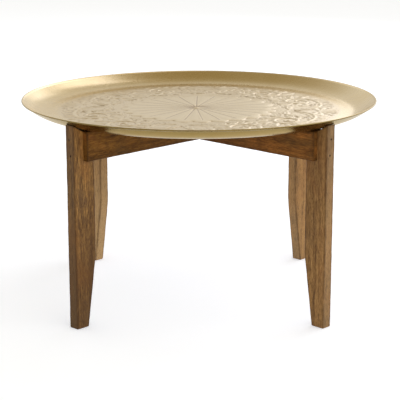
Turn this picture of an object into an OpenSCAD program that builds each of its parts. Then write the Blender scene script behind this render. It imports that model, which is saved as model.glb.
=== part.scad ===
// Tray table: a loose round brass tray on a slot-together wooden stand.
// Two frames, each a straight bar between two plank legs, cross at right
// angles and lock in a halving joint. The tray rests on the tops of the bars.
// Millimetres. The origin is on the floor under the tray's centre, +Z is up,
// and the front is towards -Y, half way between two legs.

/* [Tray] */
// Diameter of the tray over its rim
tray_d = 750; // [700:10:800]
// Height from the tray's flat underside to the top of its rim
tray_h = 27; // [24:1:34]
// Thickness of the sheet
sheet_t = 1.5; // [1:0.1:2]
// Radius of the cove between the flat floor and the flare
cove_r = 74; // [60:1:80]
// Slope of the flared side above level, in degrees
flare_angle = 36; // [32:1:40]
// Thickness of the rounded edge of the rim
edge_t = 2.6; // [2:0.1:3]

/* [Legs] */
// Height of the table to the top of the rim
table_h = 430; // [400:5:480]
// Thickness of the leg planks
leg_t = 24; // [20:1:28]
// Width of a leg above its knee
leg_w = 53; // [48:1:60]
// Width of a leg at the floor
foot_w = 31; // [26:1:40]
// Height of the knee, where the taper begins
knee_h = 147; // [120:1:180]
// Distance of a leg's outer edge inside the tray's rim
leg_inset = 14; // [12:1:20]
// Drop of the sloping top from the outer edge to the bar's end
top_drop = 14.5; // [10:0.5:15]
// Chamfer round the foot
foot_chamfer = 2; // [1:0.5:5]

/* [Bars] */
// Thickness of a bar
bar_t = 28; // [26:1:32]
// Depth of a bar from its top to its bottom edge
bar_depth = 59; // [50:1:62]
// How far a bar stands proud of the leg's face
bar_proud = 12; // [10:1:14]
// Length of leg left outside the bar's end
bar_shoulder = 25; // [20:1:28]

/* [Nails] */
// Diameter of a nail's shank
nail_d = 3.3; // [2.5:0.1:4]
// Length of a nail
nail_l = 65; // [50:1:75]
// Diameter of a nail's head
nail_head_d = 4.5; // [4:0.1:6]
// Length of a nail's head
nail_head_l = 1.8; // [1:0.1:3]
// Depth to which a nail is punched below the wood
nail_sink = 1.5; // [0.5:0.1:3]
// Distance of the nails from the bar's top and bottom edges
nail_margin = [15, 12]; // [6:1:20]
// Distance of the nails from the middle of the leg, towards the bar's show face
nail_offset = [-1, 2]; // [-1:1:6]

/* [Hidden] */

$fn = 96;
tray_facets = 180;      // facets round the tray
seat_gap = 0.3;         // clearance under the tray and all round the halving joint
cut = 1;                // how far a cutting shape runs past a face
nail_fit = 0.02;        // radial clearance of a nail in its hole

tray_r = tray_d / 2;
underside_z = table_h - tray_h;
floor_z = underside_z + sheet_t;
bar_top = underside_z - seat_gap;
bar_bottom = bar_top - bar_depth;
halving_z = bar_bottom + bar_depth / 2;

leg_r = tray_r - leg_inset;         // outer edge of a leg, from the table's axis
leg_inner_r = leg_r - leg_w;        // inner edge of a leg above its knee
bar_r = leg_r - bar_shoulder;       // end of a bar
bar_face = leg_t / 2 + bar_proud;   // a bar's show face, from the middle of its legs
bar_back = bar_face - bar_t;        // a bar's hidden face

// The sheet is flat, then turns up in a cove, then runs straight to the rounded edge.
edge_at = [tray_r - edge_t / 2, table_h - edge_t / 2];
half_through = sheet_t / 2 * [sin(flare_angle), -cos(flare_angle)];
flare_end = edge_at - half_through;
flare_rise = flare_end[1] - floor_z - cove_r * (1 - cos(flare_angle));
flat_r = flare_end[0] - flare_rise / tan(flare_angle) - cove_r * sin(flare_angle);
cove_centre = [flat_r, floor_z + cove_r];
edge_wrap = 180 - asin(sheet_t / edge_t);   // how far the rounded edge turns each way
arc_steps = 12;

// Points of the cove at a radius, from the floor up, and of the rounded edge.
function cove(radius) = [
    for (i = [0:arc_steps])
        let (a = flare_angle * i / arc_steps)
            cove_centre + radius * [sin(a), -cos(a)]
];
function rounded_edge() = [
    for (i = [-arc_steps:arc_steps])
        let (a = flare_angle - edge_wrap * i / arc_steps)
            edge_at + edge_t / 2 * [cos(a), sin(a)]
];
function backwards(points) = [for (i = [len(points) - 1:-1:0]) points[i]];

// The half section runs from the axis out to the rim and back underneath.
module tray() {
    color("#d2be93")
    rotate_extrude($fn = tray_facets)
        polygon(concat(
            [[0, floor_z]],
            cove(cove_r),
            rounded_edge(),
            backwards(cove(cove_r + sheet_t)),
            [[0, underside_z]]
        ));
}

// Stands a board up along a bearing, in degrees round +Z from +X. The board is
// drawn with its radius along X, its height along Y and its thickness about Z = 0.
module stand_up(bearing) {
    rotate([0, 0, bearing]) rotate([90, 0, 0]) children();
}

// Turns a board's fittings to the face that its bar shows on, 1 or -1.
module on_side(side) {
    mirror([0, 0, side < 0 ? 1 : 0]) children();
}

// A leg seen on its broad face: radius across, height up.
module leg_outline() {
    c = foot_chamfer;
    polygon([
        [leg_r - foot_w + c, 0],
        [leg_r - c, 0],
        [leg_r, c],
        [leg_r, bar_top + top_drop],
        [bar_r, bar_top],
        [leg_inner_r, bar_top],
        [leg_inner_r, knee_h],
        [leg_r - foot_w, c]
    ]);
}

// A leg seen on its edge: thickness across, height up.
module leg_edge_outline() {
    half = leg_t / 2;
    c = foot_chamfer;
    polygon([
        [c - half, 0],
        [half - c, 0],
        [half, c],
        [half, table_h],
        [-half, table_h],
        [-half, c]
    ]);
}

// Puts its children at the two nails in a leg's outer edge, pointing inwards along +Z.
module at_nails() {
    heights = [bar_top - nail_margin[0], bar_bottom + nail_margin[1]];
    for (i = [0, 1])
        translate([leg_r, heights[i], nail_offset[i]]) rotate([0, -90, 0]) children();
}

module nail_holes() {
    at_nails() {
        cylinder(r = nail_d / 2 + nail_fit, h = nail_sink + nail_l + cut);
        translate([0, 0, -cut])
            cylinder(r = nail_head_d / 2 + nail_fit, h = cut + nail_sink + nail_head_l);
    }
}

module nails(bearing, side) {
    color("#4a3f35")
    stand_up(bearing) on_side(side) at_nails() translate([0, 0, nail_sink]) {
        cylinder(d = nail_d, h = nail_l);
        cylinder(d = nail_head_d, h = nail_head_l);
    }
}

// A plank leg with a housing, open at its top, for the end of its bar.
module leg(bearing, side) {
    stand_up(bearing) on_side(side) difference() {
        intersection() {
            translate([0, 0, -leg_t / 2]) linear_extrude(leg_t) leg_outline();
            rotate([0, 90, 0]) linear_extrude(leg_r + cut) leg_edge_outline();
        }
        translate([leg_inner_r - cut, bar_bottom, bar_back])
            cube([bar_r - leg_inner_r + cut, bar_depth + top_drop, leg_t]);
        nail_holes();
    }
}

// A bar with its halving notch, which starts at notch_x and runs up from notch_y.
module bar(bearing, notch_x, notch_y) {
    stand_up(bearing) difference() {
        translate([-bar_r, bar_bottom, bar_back]) cube([2 * bar_r, bar_depth, bar_t]);
        translate([notch_x - seat_gap, notch_y, bar_back - cut])
            cube([bar_t + 2 * seat_gap, bar_depth / 2 + seat_gap / 2 + cut, bar_t + 2 * cut]);
        nail_holes();
        rotate([0, 180, 0]) on_side(-1) nail_holes();
    }
}

// The lower frame runs from front left to rear right, notched from above.
module lower_bar() {
    color("#6d4f2c") bar(45, -bar_face, halving_z - seat_gap / 2);
}
module leg_front_left() {
    color("#8d6a43") leg(225, -1);
}
module leg_rear_right() {
    color("#9c7148") leg(45, 1);
}
module lower_nails() {
    nails(225, -1);
    nails(45, 1);
}

// The upper frame runs from front right to rear left, notched from below.
module upper_bar() {
    color("#6d4f2c") bar(315, bar_back, bar_bottom - cut);
}
module leg_front_right() {
    color("#7c5c3c") leg(315, 1);
}
module leg_rear_left() {
    color("#a58250") leg(135, -1);
}
module upper_nails() {
    nails(315, 1);
    nails(135, -1);
}

tray();
lower_bar();
leg_front_left();
leg_rear_right();
lower_nails();
upper_bar();
leg_front_right();
leg_rear_left();
upper_nails();
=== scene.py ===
"""A low tray table: an embossed brass tray, loose on a slot-together stand of waxed mango wood."""

import logging
import math
from dataclasses import dataclass, field
from enum import Enum
from typing import ClassVar, Iterable, Mapping, Sequence

import bpy
import numpy as np
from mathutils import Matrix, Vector


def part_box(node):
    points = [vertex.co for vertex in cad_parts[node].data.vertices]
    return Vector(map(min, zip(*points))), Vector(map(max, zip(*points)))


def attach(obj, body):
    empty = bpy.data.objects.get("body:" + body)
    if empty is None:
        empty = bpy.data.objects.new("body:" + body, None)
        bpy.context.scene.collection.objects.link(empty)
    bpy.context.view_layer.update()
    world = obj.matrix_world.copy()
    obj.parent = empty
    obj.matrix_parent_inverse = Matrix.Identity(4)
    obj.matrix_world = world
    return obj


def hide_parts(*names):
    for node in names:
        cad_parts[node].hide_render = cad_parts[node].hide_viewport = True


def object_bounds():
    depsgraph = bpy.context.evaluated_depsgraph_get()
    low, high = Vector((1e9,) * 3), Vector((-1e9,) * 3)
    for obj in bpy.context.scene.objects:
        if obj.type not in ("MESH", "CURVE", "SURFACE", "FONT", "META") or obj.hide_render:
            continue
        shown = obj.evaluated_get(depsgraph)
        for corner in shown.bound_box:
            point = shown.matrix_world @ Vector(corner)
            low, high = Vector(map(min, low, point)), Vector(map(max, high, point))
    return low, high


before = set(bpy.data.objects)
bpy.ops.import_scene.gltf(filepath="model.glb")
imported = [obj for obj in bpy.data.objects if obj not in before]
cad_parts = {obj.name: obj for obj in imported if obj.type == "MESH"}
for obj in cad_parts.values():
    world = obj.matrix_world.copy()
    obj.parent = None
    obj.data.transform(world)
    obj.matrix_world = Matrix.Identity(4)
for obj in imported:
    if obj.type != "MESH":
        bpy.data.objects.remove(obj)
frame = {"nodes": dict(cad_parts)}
CAD_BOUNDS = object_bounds()

MM = 0.001
SHARP_FROM = math.radians(32)
SMALLEST_CORNER = 0.3 * MM
ARRIS_SHARE = 2.2 * MM
DRILL_SIDES = 24
LOG = logging.getLogger("tray_table")

Colour = tuple[float, float, float]
Marks = tuple[float, float, float]
Points = np.ndarray


def srgb(red: float, green: float, blue: float) -> Colour:
    """Turns a display colour into the scene's linear light.

    Args:
        red: Red from 0 to 255.
        green: Green from 0 to 255.
        blue: Blue from 0 to 255.

    Returns:
        The linear colour, each part from 0 to 1.
    """
    def linear(part: float) -> float:
        """One part of the colour."""
        share = part / 255
        return share / 12.92 if share <= 0.04045 else ((share + 0.055) / 1.055) ** 2.4

    return linear(red), linear(green), linear(blue)


# --- Shader maths ---------------------------------------------------------------------------


class Value:
    """A number on a shader socket, which Python's operators work on."""

    def __init__(self, graph: "Graph", socket: bpy.types.NodeSocket) -> None:
        """Wraps an output socket of a graph."""
        self.graph = graph
        self.socket = socket

    def math(self, operation: str, *others: "Value | float", first: bool = True) -> "Value":
        """Adds one Math node.

        Args:
            operation: The node's operation.
            others: The other operands.
            first: Whether this value is the first operand, or the last one.

        Returns:
            The node's result.
        """
        operands = [self, *others] if first else [*others, self]
        node = self.graph.node(
            "ShaderNodeMath", {"operation": operation}, dict(enumerate(operands))
        )
        return Value(self.graph, node.outputs[0])

    def __add__(self, other: "Value | float") -> "Value":
        """self + other."""
        return self.math("ADD", other)

    __radd__ = __add__

    def __sub__(self, other: "Value | float") -> "Value":
        """self - other."""
        return self.math("SUBTRACT", other)

    def __rsub__(self, other: float) -> "Value":
        """other - self."""
        return self.math("SUBTRACT", other, first=False)

    def __mul__(self, other: "Value | float") -> "Value":
        """self * other."""
        return self.math("MULTIPLY", other)

    __rmul__ = __mul__

    def __pow__(self, other: "Value | float") -> "Value":
        """self ** other."""
        return self.math("POWER", other)

    def sine(self) -> "Value":
        """The sine, of an angle in radians."""
        return self.math("SINE")

    def magnitude(self) -> "Value":
        """Its distance from zero."""
        return self.math("ABSOLUTE")

    def between(self, low: float, high: float) -> "Value":
        """Eases from 0 to 1, and stays level outside.

        Args:
            low: Where it leaves 0.
            high: Where it reaches 1.

        Returns:
            The eased value.
        """
        node = self.graph.node(
            "ShaderNodeMapRange",
            {"interpolation_type": "SMOOTHSTEP"},
            {"Value": self, "From Min": low, "From Max": high},
        )
        return Value(self.graph, node.outputs["Result"])


Input = "Value | bpy.types.NodeSocket | float | Sequence[float]"


class Graph:
    """A material's node tree, from its coordinates to its surface."""

    def __init__(self, name: str) -> None:
        """Starts a material that holds only its output and its surface shader.

        Args:
            name: The material's name.
        """
        self.material = bpy.data.materials.new(name)
        self.material.use_nodes = True
        self.tree = self.material.node_tree
        self.tree.nodes.clear()
        self.surface = self.node("ShaderNodeBsdfPrincipled")
        output = self.node("ShaderNodeOutputMaterial")
        self.tree.links.new(self.surface.outputs[0], output.inputs["Surface"])

    def node(
        self,
        kind: str,
        settings: Mapping[str, object] | None = None,
        inputs: Mapping[str | int, Input] | None = None,
    ) -> bpy.types.Node:
        """Adds a node.

        Args:
            kind: The node's type.
            settings: Its properties, and under "stops" a ramp's places and colours.
            inputs: What its sockets take, by name or number.

        Returns:
            The node.
        """
        node = self.tree.nodes.new(kind)
        for name, setting in (settings or {}).items():
            if name == "stops":
                self.set_stops(node.color_ramp, setting)
            else:
                setattr(node, name, setting)
        for name, given in (inputs or {}).items():
            self.feed(node.inputs[name], given)
        return node

    @staticmethod
    def set_stops(ramp: bpy.types.ColorRamp, stops: Iterable[tuple[float, Colour]]) -> None:
        """Sets a ramp's places and colours.

        Args:
            ramp: The ramp, which is changed.
            stops: Each place along it, from 0 to 1, with its colour.
        """
        stops = list(stops)
        while len(ramp.elements) < len(stops):
            ramp.elements.new(0.5)
        for element, (place, colour) in zip(ramp.elements, stops):
            element.position = place
            element.color = (*colour, 1.0)

    def feed(self, socket: bpy.types.NodeSocket, given: Input) -> None:
        """Links or sets an input socket.

        Args:
            socket: The input socket.
            given: A value or link to join to it, or the number, vector or colour that it holds.
        """
        if isinstance(given, Value):
            given = given.socket
        if isinstance(given, bpy.types.NodeSocket):
            self.tree.links.new(given, socket)
        elif socket.type == "RGBA" and len(given) == 3:
            socket.default_value = (*given, 1.0)
        else:
            socket.default_value = given

    def place(self) -> bpy.types.NodeSocket:
        """The point on the piece, in metres, in the piece's own frame."""
        return self.node("ShaderNodeTexCoord").outputs["Object"]

    def split(self, vector: bpy.types.NodeSocket) -> tuple[Value, Value, Value]:
        """The three parts of a vector."""
        node = self.node("ShaderNodeSeparateXYZ", inputs={0: vector})
        return tuple(Value(self, out) for out in node.outputs)

    def joined(self, x: Input, y: Input, z: Input) -> bpy.types.NodeSocket:
        """A vector made of three numbers."""
        return self.node("ShaderNodeCombineXYZ", inputs={0: x, 1: y, 2: z}).outputs[0]

    def scaled(self, vector: bpy.types.NodeSocket, by: Sequence[float]) -> bpy.types.NodeSocket:
        """A vector with each part multiplied by its own number."""
        settings = {"operation": "MULTIPLY"}
        return self.node("ShaderNodeVectorMath", settings, {0: vector, 1: by}).outputs[0]

    def moved(self, vector: bpy.types.NodeSocket, by: Input) -> bpy.types.NodeSocket:
        """A vector with another added to it."""
        return self.node("ShaderNodeVectorMath", {"operation": "ADD"}, {0: vector, 1: by}).outputs[0]

    def measured(self, name: str) -> Value:
        """A number that the mesh holds at its points."""
        settings = {"attribute_type": "GEOMETRY", "attribute_name": name}
        return Value(self, self.node("ShaderNodeAttribute", settings).outputs["Fac"])

    def noise(
        self,
        vector: bpy.types.NodeSocket,
        scale: float,
        detail: float = 2.0,
        roughness: float = 0.5,
        distortion: float = 0.0,
    ) -> Value:
        """Adds cloudy noise.

        Args:
            vector: Where the noise is read.
            scale: How many clouds there are to the metre.
            detail: How many finer layers lie on the first.
            roughness: How strong the finer layers are.
            distortion: How far the clouds are pulled about.

        Returns:
            The noise, from 0 to 1.
        """
        node = self.node(
            "ShaderNodeTexNoise",
            inputs={
                "Vector": vector,
                "Scale": scale,
                "Detail": detail,
                "Roughness": roughness,
                "Distortion": distortion,
            },
        )
        return Value(self, node.outputs[0])

    def cells(self, vector: bpy.types.NodeSocket, scale: float, randomness: float = 1.0) -> Value:
        """Distance from the middles of scattered cells."""
        inputs = {"Vector": vector, "Scale": scale, "Randomness": randomness}
        return Value(self, self.node("ShaderNodeTexVoronoi", inputs=inputs).outputs["Distance"])

    def tinted(self, share: Input, under: Input, over: Input, how: str = "MIX") -> bpy.types.NodeSocket:
        """Lays one colour over another.

        Args:
            share: How much of the upper colour shows, from 0 to 1.
            under: The lower colour.
            over: The upper colour.
            how: The way in which they mix.

        Returns:
            The mixed colour.
        """
        settings = {"data_type": "RGBA", "blend_type": how, "clamp_factor": True}
        return self.node("ShaderNodeMix", settings, {0: share, 6: under, 7: over}).outputs[2]

    def ramp(self, share: Value, stops: Sequence[tuple[float, Colour]]) -> bpy.types.NodeSocket:
        """The colour at a place along a ramp."""
        return self.node("ShaderNodeValToRGB", {"stops": stops}, {0: share}).outputs[0]

    def bump(
        self, height: Value, depth: float, under: bpy.types.NodeSocket | None = None
    ) -> bpy.types.NodeSocket:
        """Tilts the surface as a height says.

        Args:
            height: The height, from 0 to 1.
            depth: What 1 stands for, in metres.
            under: A coarser normal that this one lies on.

        Returns:
            The tilted normal.
        """
        inputs = {"Height": height, "Distance": depth, "Strength": 1.0}
        if under is not None:
            inputs["Normal"] = under
        return self.node("ShaderNodeBump", inputs=inputs).outputs[0]

    def dress(self, **sockets: Input) -> bpy.types.Material:
        """Feeds the surface shader's sockets.

        Args:
            sockets: What each takes, by its name with underscores for spaces.

        Returns:
            The finished material.
        """
        for name, given in sockets.items():
            self.feed(self.surface.inputs[name.replace("_", " ")], given)
        return self.material


# --- Finishes -------------------------------------------------------------------------------


@dataclass(frozen=True)
class PaleBrass:
    """Lacquered pale brass: satin on the flare, browner in the chasing's hollows, less lacquered and
    darkened with painted shade below, with a painted shade line under the rim's bead.

    Its mesh holds how far each point is from a groove and from an outline, in millimetres.
    """

    buffed: Colour = srgb(228, 212, 180)
    body: Colour = srgb(213, 191, 148)
    worked: Colour = srgb(213, 196, 168)
    tarnish: Colour = srgb(126, 90, 52)
    # below: painted shade, the darker colour of the underside, standing in for the dimmer reflection it
    # gets.
    below: Colour = srgb(150, 122, 46)
    # rim: painted shade, the dark line under the rim's bead.
    rim: Colour = srgb(118, 98, 46)
    grazing: Colour = (0.86, 0.8, 0.66)
    satin: float = 0.25
    worked_satin: float = 0.33
    lacquer: float = 0.42
    lacquer_satin: float = 0.22
    grooves_start: tuple[float, float] = (8 * MM, 20 * MM)
    grooves_end: tuple[float, float] = (142 * MM, 150 * MM)
    groove_side: tuple[float, float] = (0.5, 1.8)
    outline_side: tuple[float, float] = (0.3, 1.3)
    outline_apart: float = 0.4
    lathe_lines: float = 2600.0

    def material(self) -> bpy.types.Material:
        """Makes the material.

        Returns:
            The material.
        """
        g = Graph("pale_brass")
        place = g.place()
        hollow = g.measured("hollow")
        crown = g.measured("crown")
        chased = g.measured("chased")
        underneath = g.measured("underneath")
        bead_shade = g.measured("bead_shade")
        x, y, _ = g.split(place)
        reach = (x * x + y * y) ** 0.5
        petals = reach.between(*self.grooves_start) * (1.0 - reach.between(*self.grooves_end))
        groove = (1.0 - g.measured("groove").magnitude().between(*self.groove_side)) * petals
        past_outline = (g.measured("outline") + self.outline_apart).magnitude()
        outline = 1.0 - past_outline.between(*self.outline_side)
        cut = groove * 0.9 + outline * 0.5
        clouds = g.noise(place, 5.0, detail=4.0)
        smudges = g.noise(place, 34.0, detail=5.0, roughness=0.6)
        colour = g.tinted(clouds.between(0.35, 0.7) * 0.6, self.body, self.buffed)
        colour = g.tinted(chased * 0.85, colour, self.worked)
        colour = g.tinted(crown.between(0.3, 1.0) * 0.35, colour, self.buffed)
        colour = g.tinted(hollow.between(0.2, 1.0) * 0.2 + cut * 0.75, colour, self.tarnish)
        # Painted shade: the underside is darkened towards the below colour.
        colour = g.tinted(underneath * (0.75 + smudges * 0.2), colour, self.below)
        # Painted shade: a dark line under the rim's bead.
        colour = g.tinted(bead_shade * 0.7, colour, self.rim)
        turning = (reach * self.lathe_lines + smudges * 4.0).sine() * 0.5 + 0.5
        roughness = (
            self.satin
            + chased * (self.worked_satin - self.satin)
            + hollow * 0.15
            - underneath * 0.05
            + (smudges - 0.5) * 0.08
            + turning * (1.0 - chased) * 0.03
        )
        dents = g.cells(place, 300.0) * chased
        broad = g.bump(g.noise(place, 4.0, detail=1.0), 0.8 * MM)
        lined = g.bump(1.0 - cut, 0.45 * MM, broad)
        fine = g.bump(dents * 0.6 + smudges * chased * 0.4, 0.05 * MM, lined)
        return g.dress(
            Base_Color=colour,
            Metallic=1.0,
            Specular_Tint=self.grazing,
            Roughness=roughness,
            Normal=fine,
            Coat_Weight=(1.0 - underneath * 0.7) * self.lacquer,
            Coat_Roughness=self.lacquer_satin,
            Coat_IOR=1.5,
        )


class Grain(Enum):
    """Which way a board's fibres run in its own frame."""

    UPRIGHT = "upright"
    LENGTHWISE = "lengthwise"


@dataclass(frozen=True)
class MangoWood:
    """Waxed mango wood with a brown stain: flecked with dark pores, and cloudy where it took stain.

    The seed is the board's place in the log. A share says how strongly a colour, a painted light or a
    painted shade shows. The narrow faces carry painted light on some legs and painted shade on others,
    and the inner stretch of the board, under the tray, carries a painted shade that ends along the
    board where the span after its share says. Each layer of the figure is so many marks to the metre,
    across, through and along the board.
    """

    name: str
    grain: Grain
    bearing: float
    seed: float
    pale: Colour = srgb(168, 128, 76)
    middle: Colour = srgb(124, 89, 48)
    dark: Colour = srgb(70, 46, 22)
    heart: Colour = srgb(150, 92, 44)
    smoke: Colour = srgb(92, 74, 54)
    cloudy: float = 0.4
    # edge: painted light and shade on the narrow faces, pale where a leg's narrow face is lit, dark
    # where it is shaded.
    edge: Colour = srgb(176, 150, 112)
    narrow_face_shading: float = 0.0
    foot: Colour = srgb(70, 46, 22)
    foot_share: float = 0.0
    # How much darker the board gets towards its top.
    top_darkening: float = 0.0
    # Painted shade on a board's inner stretch, under the tray; the next field says where it ends along
    # the board.
    inner_shade: float = 0.0
    shaded_to: tuple[float, float] = (0.322, 0.336)
    gloss: float = 0.14
    wander_marks: Marks = (9.0, 9.0, 2.6)
    band_marks: Marks = (90.0, 60.0, 3.0)
    figure_marks: Marks = (300.0, 300.0, 26.0)
    fleck_marks: Marks = (560.0, 560.0, 90.0)
    pore_marks: Marks = (1300.0, 1300.0, 130.0)
    patch_marks: Marks = (14.0, 14.0, 7.0)

    def material(self) -> bpy.types.Material:
        """Makes the material.

        Returns:
            The material.
        """
        g = Graph(self.name)
        turn = g.node(
            "ShaderNodeVectorRotate",
            {"rotation_type": "Z_AXIS"},
            {"Vector": g.place(), "Angle": -self.bearing},
        ).outputs[0]
        out, through, up = g.split(turn)
        if self.grain is Grain.UPRIGHT:
            board = g.joined(out, through, up)
        else:
            board = g.joined(up, through, out)
        in_log = (self.seed, self.seed * 0.7, self.seed * 1.3)
        board = g.moved(board, in_log)
        wander = g.noise(g.scaled(board, self.wander_marks), 1.0, detail=2.0)
        bent = g.moved(board, g.joined(wander * 0.02, wander * 0.012, 0.0))
        bands = g.noise(g.scaled(bent, self.band_marks), 1.0, detail=2.0)
        figure = g.noise(g.scaled(bent, self.figure_marks), 1.0, detail=4.0, roughness=0.6)
        flecks = g.noise(g.scaled(bent, self.fleck_marks), 1.0, detail=3.0, roughness=0.7)
        pores = g.noise(g.scaled(bent, self.pore_marks), 1.0, detail=2.0)
        patches = g.noise(g.scaled(board, self.patch_marks), 1.0, detail=4.0, distortion=0.4)
        stains = g.noise(board, 31.0, detail=4.0, roughness=0.6)

        tone = bands * 0.3 + figure * 0.3 + flecks * 0.4
        colour = g.ramp(
            tone.between(0.33, 0.67),
            [(0.0, self.dark), (0.4, self.middle), (1.0, self.pale)],
        )
        colour = g.tinted(patches.between(0.5, 0.7) * self.cloudy, colour, self.heart)
        colour = g.tinted((1.0 - patches).between(0.52, 0.68) * self.cloudy, colour, self.smoke)
        colour = g.tinted(stains.between(0.52, 0.72) * self.cloudy * 0.7, colour, self.dark)
        colour = g.tinted((1.0 - up.between(0.05, 0.36)) * self.foot_share, colour, self.foot)
        # Darker towards the top of the board.
        colour = g.tinted(up.between(0.1, 0.4) * self.top_darkening, colour, self.dark)
        # Painted shade: darker on the inner stretch, towards the table's middle under the tray.
        inwards = 1.0 - (out + wander * 0.01).between(*self.shaded_to)
        colour = g.tinted(inwards * self.inner_shade, colour, self.dark)
        # Painted light and shade: the narrow faces are tinted towards edge.
        colour = g.tinted(g.measured("narrow_face") * self.narrow_face_shading, colour, self.edge)
        open_pores = pores.between(0.55, 0.66)
        colour = g.tinted(open_pores * 0.55, colour, self.dark)
        arris = g.measured("arris")
        broken = g.noise(board, 70.0, detail=3.0).between(0.3, 0.6)
        colour = g.tinted(arris * (0.45 + broken * 0.45), colour, self.dark)
        # End grain takes the stain darker; on the legs' tops, in the slit under the tray, the darkening
        # also paints the tray's contact shadow.
        colour = g.tinted(g.measured("end_grain") * 0.75, colour, self.dark)
        roughness = 0.52 + open_pores * 0.2 + (flecks - 0.5) * 0.25 - arris * 0.06
        relief = flecks * 0.5 - open_pores * 0.45 + bands * 0.4
        return g.dress(
            Base_Color=colour,
            Roughness=roughness,
            Specular_IOR_Level=self.gloss,
            Normal=g.bump(relief, 0.3 * MM),
        )


@dataclass(frozen=True)
class DarkSteel:
    """Nail steel that has browned in the wood."""

    bright: Colour = srgb(96, 84, 74)
    rust: Colour = srgb(44, 30, 22)

    def material(self) -> bpy.types.Material:
        """Makes the material.

        Returns:
            The material.
        """
        g = Graph("dark_steel")
        spots = g.noise(g.place(), 700.0, detail=4.0)
        colour = g.tinted(spots.between(0.4, 0.6), self.bright, self.rust)
        normal = g.bump(spots, 0.1 * MM)
        return g.dress(Base_Color=colour, Metallic=0.8, Roughness=0.45 + spots * 0.3, Normal=normal)


# --- Meshes ---------------------------------------------------------------------------------


def make_piece(name: str, points: Points, faces: Sequence[Sequence[int]]) -> bpy.types.Object:
    """Makes a smooth-shaded piece.

    Args:
        name: The piece's name.
        points: Its points, in metres.
        faces: Its faces, as point numbers.

    Returns:
        The piece, linked to the scene.
    """
    mesh = bpy.data.meshes.new(name)
    mesh.from_pydata(points.tolist(), [], faces)
    mesh.update()
    mesh.shade_smooth()
    piece = bpy.data.objects.new(name, mesh)
    bpy.context.scene.collection.objects.link(piece)
    return piece


def hold(piece: bpy.types.Object, name: str, numbers: np.ndarray) -> None:
    """Stores a number at each point of a piece, for its material to read."""
    layer = piece.data.attributes.new(name, "FLOAT", "POINT")
    layer.data.foreach_set("value", numbers.astype(np.float32))


def points_of(piece: bpy.types.Object) -> Points:
    """Reads the points of a piece's mesh.

    Args:
        piece: The piece.

    Returns:
        Its points, in metres.
    """
    flat = np.empty(len(piece.data.vertices) * 3, np.float32)
    piece.data.vertices.foreach_get("co", flat)
    return flat.reshape(-1, 3).astype(float)


def bridge(first: int, second: int, count: int) -> list[tuple[int, ...]]:
    """Joins two rings of points with quads.

    Args:
        first: The number of one ring's first point.
        second: The number of the other ring's first point.
        count: How many points each has.

    Returns:
        The quads, as point numbers.
    """
    j = np.arange(count)
    after = (j + 1) % count
    sides = (first + j, second + j, second + after, first + after)
    return list(zip(*(side.tolist() for side in sides)))


def eased(value: np.ndarray, low: float, high: float) -> np.ndarray:
    """Eases from 0 at low to 1 at high."""
    share = np.clip((value - low) / (high - low), 0.0, 1.0)
    return share * share * (3 - 2 * share)


def cut_away(piece: bpy.types.Object, tools: Sequence[bpy.types.Object]) -> None:
    """Cuts solids out of a piece, and deletes them.

    Args:
        piece: The piece, whose mesh is changed.
        tools: The solids.
    """
    for tool in tools:
        cutter = piece.modifiers.new(tool.name, "BOOLEAN")
        cutter.operation = "DIFFERENCE"
        cutter.solver = "EXACT"
        cutter.object = tool
    graph = bpy.context.evaluated_depsgraph_get()
    cut = bpy.data.meshes.new_from_object(piece.evaluated_get(graph))
    whole = piece.data
    piece.modifiers.clear()
    piece.data = cut
    cut.set_sharp_from_angle(angle=SHARP_FROM)
    cut.name = whole.name
    bpy.data.meshes.remove(whole)
    for tool in tools:
        bpy.data.meshes.remove(tool.data)


# --- The tray's ornament --------------------------------------------------------------------


class Relief:
    """The embossing at a set of places: its height, and how far each is inside an outline."""

    apron: ClassVar[float] = 4 * MM

    def __init__(self, count: int) -> None:
        """Starts flat, with every place well outside."""
        self.height = np.zeros(count)
        self.inside = np.full(count, -self.apron)

    def lay(self, which: np.ndarray | slice, height: np.ndarray, inside: np.ndarray) -> None:
        """Lays a raised shape over some of the places."""
        self.height[which] = np.maximum(self.height[which], height)
        self.inside[which] = np.maximum(self.inside[which], inside)

    def keep(self, share: np.ndarray) -> None:
        """Fades the relief to flat where the share is 0."""
        self.height *= share
        self.inside = share * self.inside - (1 - share) * self.apron


@dataclass(frozen=True)
class Stroke:
    """A raised stroke of the chasing: a line with a width at each point and one height."""

    line: Points
    widths: np.ndarray
    height: float

    def raise_over(self, relief: Relief, places: Points) -> None:
        """Raises the relief where the stroke passes.

        Args:
            relief: The relief at each place, which is changed.
            places: The places, as points of the unit's own plane.
        """
        steps = zip(self.line[:-1], self.line[1:], self.widths[:-1], self.widths[1:])
        for start, end, start_width, end_width in steps:
            reach = max(start_width, end_width) + Relief.apron
            low = np.minimum(start, end) - reach
            high = np.maximum(start, end) + reach
            near = np.nonzero(np.all((places > low) & (places < high), axis=1))[0]
            if len(near) == 0:
                continue
            run = end - start
            off = places[near] - start
            share = np.clip(off @ run / max(run @ run, 1e-12), 0.0, 1.0)
            gap = np.linalg.norm(off - share[:, None] * run, axis=1)
            width = start_width + (end_width - start_width) * share
            soft_top = np.cos(math.pi / 2 * np.clip(gap / width, 0, 1)) ** 1.5
            relief.lay(near, self.height * soft_top, width - gap)


def curve(
    start: Sequence[float], bend: Sequence[float], end: Sequence[float], steps: int = 8
) -> Points:
    """Draws a curve between two points.

    Args:
        start: Where it starts.
        bend: The point that it leaves towards, and arrives from.
        end: Where it ends.
        steps: How many steps it has.

    Returns:
        The points along it.
    """
    share = np.linspace(0, 1, steps + 1)[:, None]
    a, b, c = (np.array(point, float) for point in (start, bend, end))
    return (1 - share) ** 2 * a + 2 * share * (1 - share) * b + share**2 * c


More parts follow.
